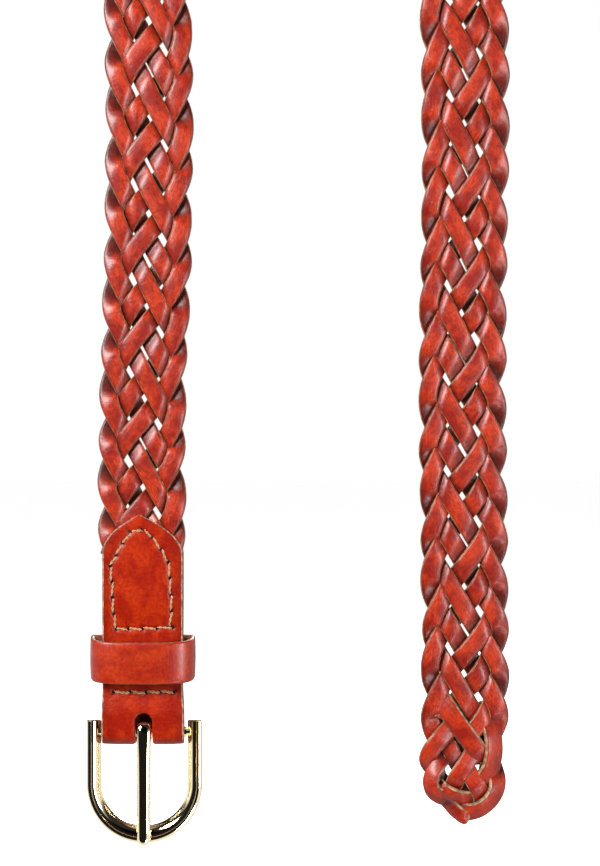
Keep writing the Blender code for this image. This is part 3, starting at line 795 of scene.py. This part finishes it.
def knot_strip(name, number, half, roll, places, leather):
    """One strip of the knot, rolled about its own line, with rounded, cut ends."""
    x, height, cut, flesh = section_outline()
    spine = smooth_open(np.array(places) * MM, KNOT_SECTIONS)
    across = right_of(np.gradient(spine, axis=0))
    share = np.linspace(0, 1, len(spine))
    lean = math.radians(roll) * np.sin(np.pi * share) ** 0.75
    run = distance_along(spine)
    to_end = np.minimum(run, run[-1] - run)
    rounding = np.sqrt(1 - np.clip(1 - (to_end + 0.15 * MM) / END_ROUNDING, 0, 1) ** 2)
    wide = x * 2 * half * MM * rounding[:, None]
    thick = height + 1.3 * CROWN * (1 - (2 * x) ** 2)
    reach = wide * np.cos(lean)[:, None] - thick * np.sin(lean)[:, None]
    out = wide * np.sin(lean)[:, None] + thick * np.cos(lean)[:, None]
    place_x = TIP_X + spine[:, None, 0] + reach * across[:, None, 0]
    place_z = KNOT_TOP_Z - spine[:, None, 1] - reach * across[:, None, 1]
    place_y = -(spine[:, None, 2] + out)
    points = np.stack((place_x, place_y, place_z), axis=-1)
    obj = new_object(name, points, grid_faces(len(spine), len(x)), leather)
    face_out(obj)
    end_cut = np.clip(1.6 - to_end / (0.6 * MM), 0, 1)
    cut = np.maximum(end_cut[:, None], cut)
    # painted shade: darker the further back a strip lies, and towards its edges
    shade = np.clip(0.45 - spine[:, 2] / (1.2 * MM), 0, 1)
    shade = np.minimum(shade[:, None] + rim_shade(x), 1)
    run = run + number * 0.23
    add_leather_values(obj, run[:, None], x * 2 * half * MM, cut, flesh, shade)
    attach(obj, "tip_leg")


def make_knot(leather):
    for number, (name, (half, roll, places)) in enumerate(KNOT.items()):
        knot_strip(f"knot_{name}", number, half, roll, places, leather)


# The tab


def below_waist(z):
    return smoothstep((WAIST_FOOT_Z - z) / WAIST_FALL)


def tab_offset(z):
    """How far a layer's middle lies from the tab's mid-plane at height z."""
    above = smoothstep((z - WAIST_TOP_Z) / WAIST_RISE)
    return TAB_WAIST + (TAB_SPREAD - TAB_WAIST) * np.maximum(above, below_waist(z))


def tab_rise(z):
    return np.clip((z - TAB_SHOULDER_Z) / (TAB_POINT_Z - TAB_SHOULDER_Z), 0, 1)


def tab_half_width(z):
    return TAB_WIDTH / 2 * (1 - tab_rise(z) ** 2.1) + TAB_FLARE * below_waist(z)


def holes_of(places):
    return [(x * MM, TAB_POINT_Z - down * MM) for x, down in places]


def stitch_runs():
    """Every stitch on one face of the tab: pairs of needle holes, seam by seam."""
    upper, foot, lower = [holes_of(seam) for seam in (UPPER_SEAM, UPPER_SEAM_FOOT, LOWER_SEAM)]
    return list(zip(upper, upper[1:])) + list(zip(foot, foot[1:])), list(zip(lower, lower[1:]))


def stitch_distance(x, z):
    """Distance from each point of the tab's face to the nearest stitch, and to a needle hole."""
    upper, lower = stitch_runs()
    line = np.full(x.shape, 1.0)
    hole = np.full(x.shape, 1.0)
    for (ax, az), (bx, bz) in upper + lower:
        dx = bx - ax
        dz = bz - az
        t = np.clip(((x - ax) * dx + (z - az) * dz) / (dx * dx + dz * dz), 0, 1)
        line = np.minimum(line, np.hypot(x - ax - t * dx, z - az - t * dz))
        for hx, hz in ((ax, az), (bx, bz)):
            hole = np.minimum(hole, np.hypot(x - hx, z - hz))
    return line, hole


def tab_run():
    """Along the tab from its front point to its back one: heights, and turns round the fold."""
    rise = np.linspace(0.004, 1, 40)
    point = TAB_POINT_Z - (TAB_POINT_Z - TAB_SHOULDER_Z) * rise**1.3
    heights = np.r_[point, np.linspace(TAB_SHOULDER_Z, BAR_Z, 150)[1:-1]]
    fold = np.linspace(0, np.pi, 25)
    run_z = np.r_[heights, np.full(len(fold), BAR_Z), heights[::-1]]
    angle = np.r_[np.zeros(len(heights)), fold, np.full(len(heights), np.pi)]
    return run_z, angle


def tab_section():
    """Round the tab's section: inset, place across, how far out, cut and flesh shares."""
    face = 79
    back = 13
    inset = np.r_[np.full(face, 0.42), 0.10, 0.0, 0.0, np.full(back, 0.4), 0.0, 0.0, 0.10] * MM
    side = np.r_[np.linspace(-1, 1, face), [1.0] * 3, np.linspace(1, -1, back), [-1.0] * 3]
    away = np.r_[np.ones(face), 0.80, 0.35, -0.6, -np.ones(back), -0.6, 0.35, 0.80]
    cut = np.r_[0.75, np.zeros(face - 2), 0.75, [1.0] * 3, np.zeros(back), [1.0] * 3]
    flesh = np.r_[np.zeros(face), 0.0, 0.0, 0.4, np.ones(back), 0.4, 0.0, 0.0]
    return inset, side, away, cut, flesh


def make_tab(leather):
    """One strip folded round the bar, dimpled along its seams, with a slot for the prong."""
    run_z, angle = tab_run()
    inset, side, away, cut, flesh = tab_section()
    half = tab_half_width(run_z)
    offset = np.where(np.abs(run_z - BAR_Z) < 1e-9, TAB_SPREAD, tab_offset(run_z))
    x = (half[:, None] - np.minimum(inset, half[:, None] * 0.4)) * side
    z_grid = run_z[:, None] + 0 * x
    line, hole = stitch_distance(x, z_grid)
    x = x + TAB_LEAN * tab_rise(z_grid) ** 1.5
    flat = (np.sin(angle) < 0.01)[:, None]
    outer = away > 0.9
    dip = SEAM_DIP * bell(line, 0.8 * MM) + HOLE_DIP * bell(hole, 0.75 * MM)
    puff = TAB_PUFF * np.clip(1 - np.abs(side) ** 6, 0, 1)
    rim = slot_distance(x - (BUCKLE_X - TAB_X), z_grid)
    roll = SLOT_ROLL * np.clip(1 - rim / (0.9 * MM), 0, 1) ** 2
    reach = offset[:, None] + away * TAB_THICKNESS / 2
    reach = reach + np.where(outer, puff - roll - np.where(flat, dip, 0.0), 0.0)
    y = -reach * np.cos(angle)[:, None]
    z = run_z[:, None] - reach * np.sin(angle)[:, None]
    points = np.stack((TAB_X + x, y, z), axis=-1)
    obj = new_object("tab_leather_piece", points, grid_faces(len(run_z), len(side)), leather, 50)
    face_out(obj)
    run = np.cumsum(np.r_[0, np.hypot(np.diff(run_z), np.diff(offset * angle))])
    # painted shade on the outer faces: darker towards the tab's edges and round the needle holes
    edge = np.clip((np.abs(side) - 0.60) / 0.40, 0, 1) ** 1.5 + 0 * x
    shade = 0.45 * edge + np.where(flat, 0.9 * bell(hole, 0.9 * MM), 0)
    add_leather_values(obj, run[:, None], x, cut, flesh, np.where(outer, shade, 0.0))
    cut_slot(obj)
    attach(obj, "buckle_leg")
    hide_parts("tab")


def slot_distance(x, z):
    """Distance outside the slot's outline, whose top is round."""
    above = np.maximum(z - (SLOT_TOP_Z - SLOT_WIDTH / 2), 0)
    return np.maximum(np.hypot(x, above) - SLOT_WIDTH / 2, 0)


def cut_slot(obj):
    """Cuts the slot through the fold: higher in the front layer than in the back one."""
    sides = 28
    turns = [math.pi * i / sides for i in range(sides + 1)]
    for top_z, near, far, radius in (
        (SLOT_TOP_Z, -CUTTER_REACH, 0.1 * MM, SLOT_WIDTH / 2),
        (SLOT_BACK_TOP_Z, -0.5 * MM, CUTTER_REACH, SLOT_WIDTH * 0.48),
    ):
        outline = [(radius * math.cos(a), top_z - radius + radius * math.sin(a)) for a in turns]
        foot = BAR_Z - CUTTER_REACH - (radius - SLOT_WIDTH / 2)
        outline += [(-radius, foot), (radius, foot)]
        points = [(BUCKLE_X + x, y, z) for y in (near, far) for x, z in outline]
        cutter = new_object("slot_cutter", points, grid_faces(2, len(outline)), obj.data.materials[0])
        face_out(cutter)
        cut = obj.modifiers.new("slot", "BOOLEAN")
        cut.operation = "DIFFERENCE"
        cut.object = cutter
        graph = bpy.context.evaluated_depsgraph_get()
        mesh = bpy.data.meshes.new_from_object(obj.evaluated_get(graph), depsgraph=graph)
        obj.modifiers.clear()
        obj.data = mesh
        bpy.data.objects.remove(cutter)


def face_y(z, side):
    """The tab's outer face at height z, on the front (side -1) or back."""
    return side * (float(tab_offset(np.array(z))) + TAB_THICKNESS / 2)


def stitch_mesh(runs, side, radius, rng):
    """Thread between needle holes: two plies rise from one hole and sink into the next."""
    points = []
    faces = []
    along = []
    around = []
    steps = 14
    sides = 8
    for (ax, az), (bx, bz) in runs:
        length = math.hypot(bx - ax, bz - az)
        dx = (bx - ax) / length
        dz = (bz - az) / length
        wander = rng.normal(0, 0.10 * MM)
        twist = rng.uniform(0, 2 * math.pi)
        for ply in (0, 1):
            start = len(points)
            for i in range(steps + 1):
                t = i / steps
                bow = math.sin(math.pi * t)
                turn = twist + math.pi * ply + 2 * math.pi * t * length / THREAD_TWIST
                off = 0.55 * radius * math.cos(turn) + wander * bow + STITCH_SLANT * (0.5 - t)
                x = ax + dx * length * t - dz * off
                z = az + dz * length * t + dx * off
                lift = 0.62 * MM * min(1.0, 1.8 * bow) - 0.70 * MM + 0.45 * radius * math.sin(turn)
                y = face_y(z, side) + side * lift
                for j in range(sides):
                    a = 2 * math.pi * j / sides
                    points.append((
                        TAB_X + x - dz * PLY_SHARE * radius * math.cos(a),
                        y + side * PLY_SHARE * radius * math.sin(a),
                        z + dx * PLY_SHARE * radius * math.cos(a),
                    ))
                    along.append(t * length + start * 1e-5)
                    around.append(j / sides * 2.5 * MM)
            for face in grid_faces(steps + 1, sides):
                faces.append(tuple(start + k for k in face))
    return points, faces, along, around


def make_stitching(thread, hole):
    rng = np.random.default_rng(11)
    upper, lower = stitch_runs()
    for seam, runs, radius in (("upper_seam", upper, UPPER_THREAD), ("lower_seam", lower, LOWER_THREAD)):
        for face, side in (("front", -1), ("back", 1)):
            points, faces, along, around = stitch_mesh(runs, side, radius, rng)
            obj = new_object(f"{seam}_{face}_stitches", points, faces, thread)
            face_out(obj)
            add_uv(obj, along, around)
            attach(obj, "buckle_leg")
            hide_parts(f"{seam}_{face}")
            make_hole_shades(f"{seam}_{face}_holes", runs, side, radius, hole, rng)


def make_hole_shades(name, runs, side, radius, mat, rng):
    """Needle holes: dark blobs of painted shade sunk under the ends of the stitches."""
    places = sorted({end for run in runs for end in run})
    bm = bmesh.new()
    for x, z in places:
        wide = radius * (1.95 + rng.uniform(-0.25, 0.3))
        made = bmesh.ops.create_icosphere(bm, subdivisions=2, radius=1.0)
        jog = rng.normal(0, 0.12 * MM, 2)
        for v in made["verts"]:
            v.co = Vector((
                TAB_X + x + jog[0] + v.co.x * wide,
                face_y(z, side) - side * 0.40 * MM + v.co.y * 0.24 * MM,
                z + jog[1] + v.co.z * wide * 1.1,
            ))
    obj = new_object(name, [], [], mat)
    bm.to_mesh(obj.data)
    bm.free()
    obj.data.shade_smooth()
    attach(obj, "buckle_leg")


# The keeper


def keeper_line():
    """The keeper's outer line from above: a flat back and a bowed front."""
    back_y = KEEPER_THICKNESS / 2
    half = KEEPER_WIDTH / 2
    depth = back_y - KEEPER_FRONT_Y
    line = []
    for middle_x, first in ((half - KEEPER_CORNER, 0), (-half + KEEPER_CORNER, 1)):
        for i in range(9):
            angle = math.pi / 2 * (first + i / 8)
            y = back_y - KEEPER_CORNER + KEEPER_CORNER * math.sin(angle)
            line.append((middle_x + KEEPER_CORNER * math.cos(angle), y))
    for i in range(1, 80):
        angle = math.pi * (1 + i / 80)
        across = math.cos(angle)
        y = back_y - KEEPER_CORNER - (depth - KEEPER_CORNER) * abs(math.sin(angle)) ** KEEPER_BOW
        line.append((half * math.copysign(abs(across) ** KEEPER_BOW, across), y))
    return evenly(np.array([*line, line[0]]), 150, endpoint=False)


def keeper_section():
    """Round the band's section: depth in, drop from 0 at its top to 1, cut and flesh shares."""
    wall = KEEPER_THICKNESS
    face = [0.30 * MM, 0.08 * MM, *np.zeros(11), 0.08 * MM, 0.30 * MM]
    depth_in = np.r_[face, wall * 0.7, np.full(7, wall), wall * 0.7]
    drop = np.r_[0.0, 0.02, np.linspace(0.05, 0.95, 11), 0.98, 1.0]
    drop = np.r_[drop, 1.0, 0.98, np.linspace(0.95, 0.05, 5), 0.02, 0.0]
    cut = np.r_[0.9, 0.3, np.zeros(11), 0.3, 0.9, 1.0, 0.6, np.zeros(5), 0.6, 1.0]
    flesh = np.r_[np.zeros(15), 0.3, 0.8, np.ones(5), 0.8, 0.3]
    return depth_in, drop, cut, flesh


def make_keeper(leather):
    """A band bent into a loop: its back lies between the tab's layers and its front droops."""
    line = keeper_line()
    depth_in, drop, cut, flesh = keeper_section()
    inward = -right_of(np.roll(line, -1, axis=0) - np.roll(line, 1, axis=0))
    back_y = KEEPER_THICKNESS / 2
    forward = (back_y - line[:, 1]) / (back_y - KEEPER_FRONT_Y)
    swell = KEEPER_SWELL * np.sin(np.pi * drop)
    place = line[:, None] + inward[:, None] * (depth_in - swell)[:, None]
    top = KEEPER_TOP_Z + KEEPER_LIFT - (KEEPER_DROOP * forward)[:, None]
    z = top - KEEPER_HEIGHT * drop
    points = np.dstack((TAB_X + place[:, :, 0], place[:, :, 1], z))
    faces = grid_faces(len(line), len(drop), closed_run=True)
    obj = new_object("keeper_band", points, faces, leather, 55)
    face_out(obj)
    run = distance_along(line)
    add_leather_values(obj, run[:, None], drop * KEEPER_HEIGHT, cut, flesh, 0.0)
    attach(obj, "keeper")
    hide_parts("keeper")


# The buckle


def frame_profile():
    """The frame's section from its inner edge round the back, the outer edge and the front."""
    return np.array([
        (0.00, 0.30), (0.03, 0.62), (0.12, 0.86), (0.28, 0.96), (0.50, 1.00), (0.72, 0.96),
        (0.88, 0.84), (0.97, 0.60), (1.00, 0.25), (1.00, -0.10), (0.98, -0.45), (0.95, -0.66),
        (0.91, -0.78), (0.86, -0.85), (0.80, -0.905), (0.72, -0.94), (0.655, -0.955),
        (0.642, -1.0), (0.618, -1.0), (0.605, -0.955), (0.52, -0.91), (0.44, -0.85),
        (0.36, -0.76), (0.27, -0.62), (0.18, -0.44), (0.09, -0.20), (0.03, 0.05),
    ])


def frame_edge(half, drop):
    """One edge of the frame: down an arm, round the toe and up the other arm."""
    arm = np.linspace(FRAME_TOP_Z, FRAME_STRAIGHT_Z, 18)
    angles = np.linspace(0, np.pi, 97)[1:-1]
    toe = [(-half * math.cos(a), FRAME_STRAIGHT_Z - drop * math.sin(a)) for a in angles]
    return np.array([(-half, z) for z in arm] + toe + [(half, z) for z in arm[::-1]])


def make_frame(gold):
    half = FRAME_WIDTH / 2
    drop = FRAME_STRAIGHT_Z - FRAME_BOTTOM_Z
    outer = frame_edge(half, drop)
    inner = frame_edge(half - FRAME_ARM, drop - FRAME_TOE)
    profile = frame_profile()
    place = inner[:, None] + (outer - inner)[:, None] * profile[:, :1]
    y = np.broadcast_to(profile[:, 1] * FRAME_DEPTH / 2, place.shape[:2])
    points = np.dstack((BUCKLE_X + place[:, :, 0], y, place[:, :, 1]))
    obj = new_object("buckle_frame_plated", points, grid_faces(len(inner), len(profile)), gold, 32)
    face_out(obj)
    soften_ends(obj, FRAME_TOP_Z)
    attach(obj, "buckle_frame")
    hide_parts("buckle_frame")


def soften_ends(obj, top_z):
    """Rounds the rim of each arm's flat end."""
    bm = bmesh.new()
    bm.from_mesh(obj.data)
    rim = [
        e for e in bm.edges
        if all(abs(v.co.z - top_z) < 1e-6 for v in e.verts) and len(e.link_faces) == 2
    ]
    bmesh.ops.bevel(bm, geom=rim, offset=0.6 * MM, segments=3, profile=0.6, affect="EDGES")
    bm.to_mesh(obj.data)
    bm.free()
    obj.data.shade_smooth()
    obj.data.set_sharp_from_angle(angle=math.radians(32))


def prong_line():
    """The prong's middle line in y and z, from the eye's end to the tip."""
    radius = BAR_RADIUS + EYE_CLEARANCE + EYE_WALL / 2
    places = []
    for i in range(25):
        angle = math.radians(EYE_TURN - EYE_TURN * i / 24)
        rise = EYE_RISE if math.sin(angle) > 0 else 1.0
        places.append((-radius * math.cos(angle), BAR_Z + radius * math.sin(angle) * rise))
    places += [(-forward * MM, BAR_Z - below * MM) for below, forward in PRONG_RUN]
    return smooth_open(np.array(places), 150)


def make_prong(gold):
    """An eye round the bar and a half-round tongue that rests over the frame's toe."""
    line = prong_line()
    out = right_of(np.gradient(line, axis=0))
    length = distance_along(line)
    left = length[-1] - length
    taper = np.sqrt(np.clip(1 - np.clip(1 - left / PRONG_POINT, 0, 1) ** 2, 0.02, 1))
    slim = 1 - PRONG_SLIMMING * smoothstep((length - 14 * MM) / (20 * MM))
    thick = np.interp(length, [0, 12 * MM, 20 * MM], [EYE_WALL / 2, EYE_WALL / 2, TONGUE_HALF])
    turns = np.linspace(0, 2 * math.pi, 24, endpoint=False)
    section_x = np.sign(np.cos(turns)) * np.abs(np.cos(turns)) ** 0.9
    section_n = np.where(np.sin(turns) > 0, 1.35 * np.sin(turns), -0.75 * np.abs(np.sin(turns)) ** 0.4)
    reach = (thick * (0.35 + 0.65 * taper))[:, None] * section_n
    x = (PRONG_WIDTH / 2 * taper * slim)[:, None] * section_x
    y = line[:, None, 0] + out[:, None, 0] * reach
    z = line[:, None, 1] + out[:, None, 1] * reach
    points = np.dstack((BUCKLE_X + x, y, z))
    obj = new_object("prong_plated", points, grid_faces(len(line), len(turns)), gold, 60)
    face_out(obj)
    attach(obj, "prong")
    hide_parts("prong")


# Stage


def make_lights():
    for name, (place, size, power) in LIGHTS.items():
        data = bpy.data.lights.new(name, "AREA")
        data.shape = "RECTANGLE"
        data.size, data.size_y = size
        data.energy = power
        obj = linked_object(name, data)
        obj.location = place
        aim = Vector(LIGHT_TARGET) - Vector(place)
        obj.rotation_euler = aim.to_track_quat("-Z", "Y").to_euler()


def make_floor():
    corners = [(-1, -1), (1, -1), (1, 1), (-1, 1)]
    points = [(FLOOR_HALF * x, FLOOR_HALF * y, FLOOR_Z) for x, y in corners]
    floor = new_object("studio_floor", points, [(0, 1, 2, 3)], floor_material())
    floor.visible_diffuse = False
    floor.visible_glossy = False


def make_world():
    """White to the eye, faint as a light, and on shiny surfaces white with soft dark zones."""
    world = bpy.data.worlds.new("studio")
    bpy.context.scene.world = world
    world.use_nodes = True
    n = Nodes(world.node_tree)
    direction = n.add("ShaderNodeTexCoord").outputs["Generated"]
    dot = n.add("ShaderNodeVectorMath", {"operation": "DOT_PRODUCT"})
    n.feed(dot, 0, direction)
    n.feed(dot, 1, DARK_SIDE)
    facing = dot.outputs["Value"]
    height = n.add("ShaderNodeSeparateXYZ", Vector=direction).outputs["Z"]
    front = n.ramp(facing, 0.60, 0.76, 1.0, 0.012)
    behind = n.ramp(facing, -0.95, -0.70, 0.40, 1.0)
    above = n.ramp(height, 0.15, 0.45, 1.0, 0.03)
    ceiling = n.ramp(height, 0.84, 0.97, 0.0, 0.9)
    around = n.math("MAXIMUM", n.times(front, above), ceiling)
    path = n.add("ShaderNodeLightPath")
    mirrored = n.add("ShaderNodeMix")
    n.feed(mirrored, 0, path.outputs["Is Glossy Ray"])
    n.feed(mirrored, 2, WORLD_LIGHT)
    n.feed(mirrored, 3, n.times(around, behind))
    background = n.tree.nodes["Background"]
    n.feed(background, "Color", (1.0, 1.0, 1.0))
    n.feed(background, "Strength", n.math("MAXIMUM", path.outputs["Is Camera Ray"], mirrored))


def make_camera():
    data = bpy.data.cameras.new("camera")
    data.lens = data.sensor_width * CAMERA_DISTANCE / VIEW_HEIGHT
    data.clip_start = 0.05
    data.clip_end = 60.0
    camera = linked_object("camera", data)
    camera.location = VIEW_CENTRE + Vector((0, -CAMERA_DISTANCE, 0))
    camera.rotation_euler = (math.pi / 2, 0, 0)
    bpy.context.scene.camera = camera


def main():
    bpy.context.scene.view_settings.view_transform = "Standard"
    leathers = {name: leather_material(name, *look) for name, look in LEATHERS.items()}
    gold = gold_material()
    make_camera()
    make_floor()
    make_world()
    make_lights()
    make_braid(leathers["braid_leather"])
    make_knot(leathers["knot_leather"])
    make_tab(leathers["tab_leather"])
    make_stitching(thread_material(), hole_shade_material())
    make_keeper(leathers["keeper_leather"])
    make_frame(gold)
    make_prong(gold)
    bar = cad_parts["buckle_bar"]
    bar.data.materials.clear()
    bar.data.materials.append(gold)


main()
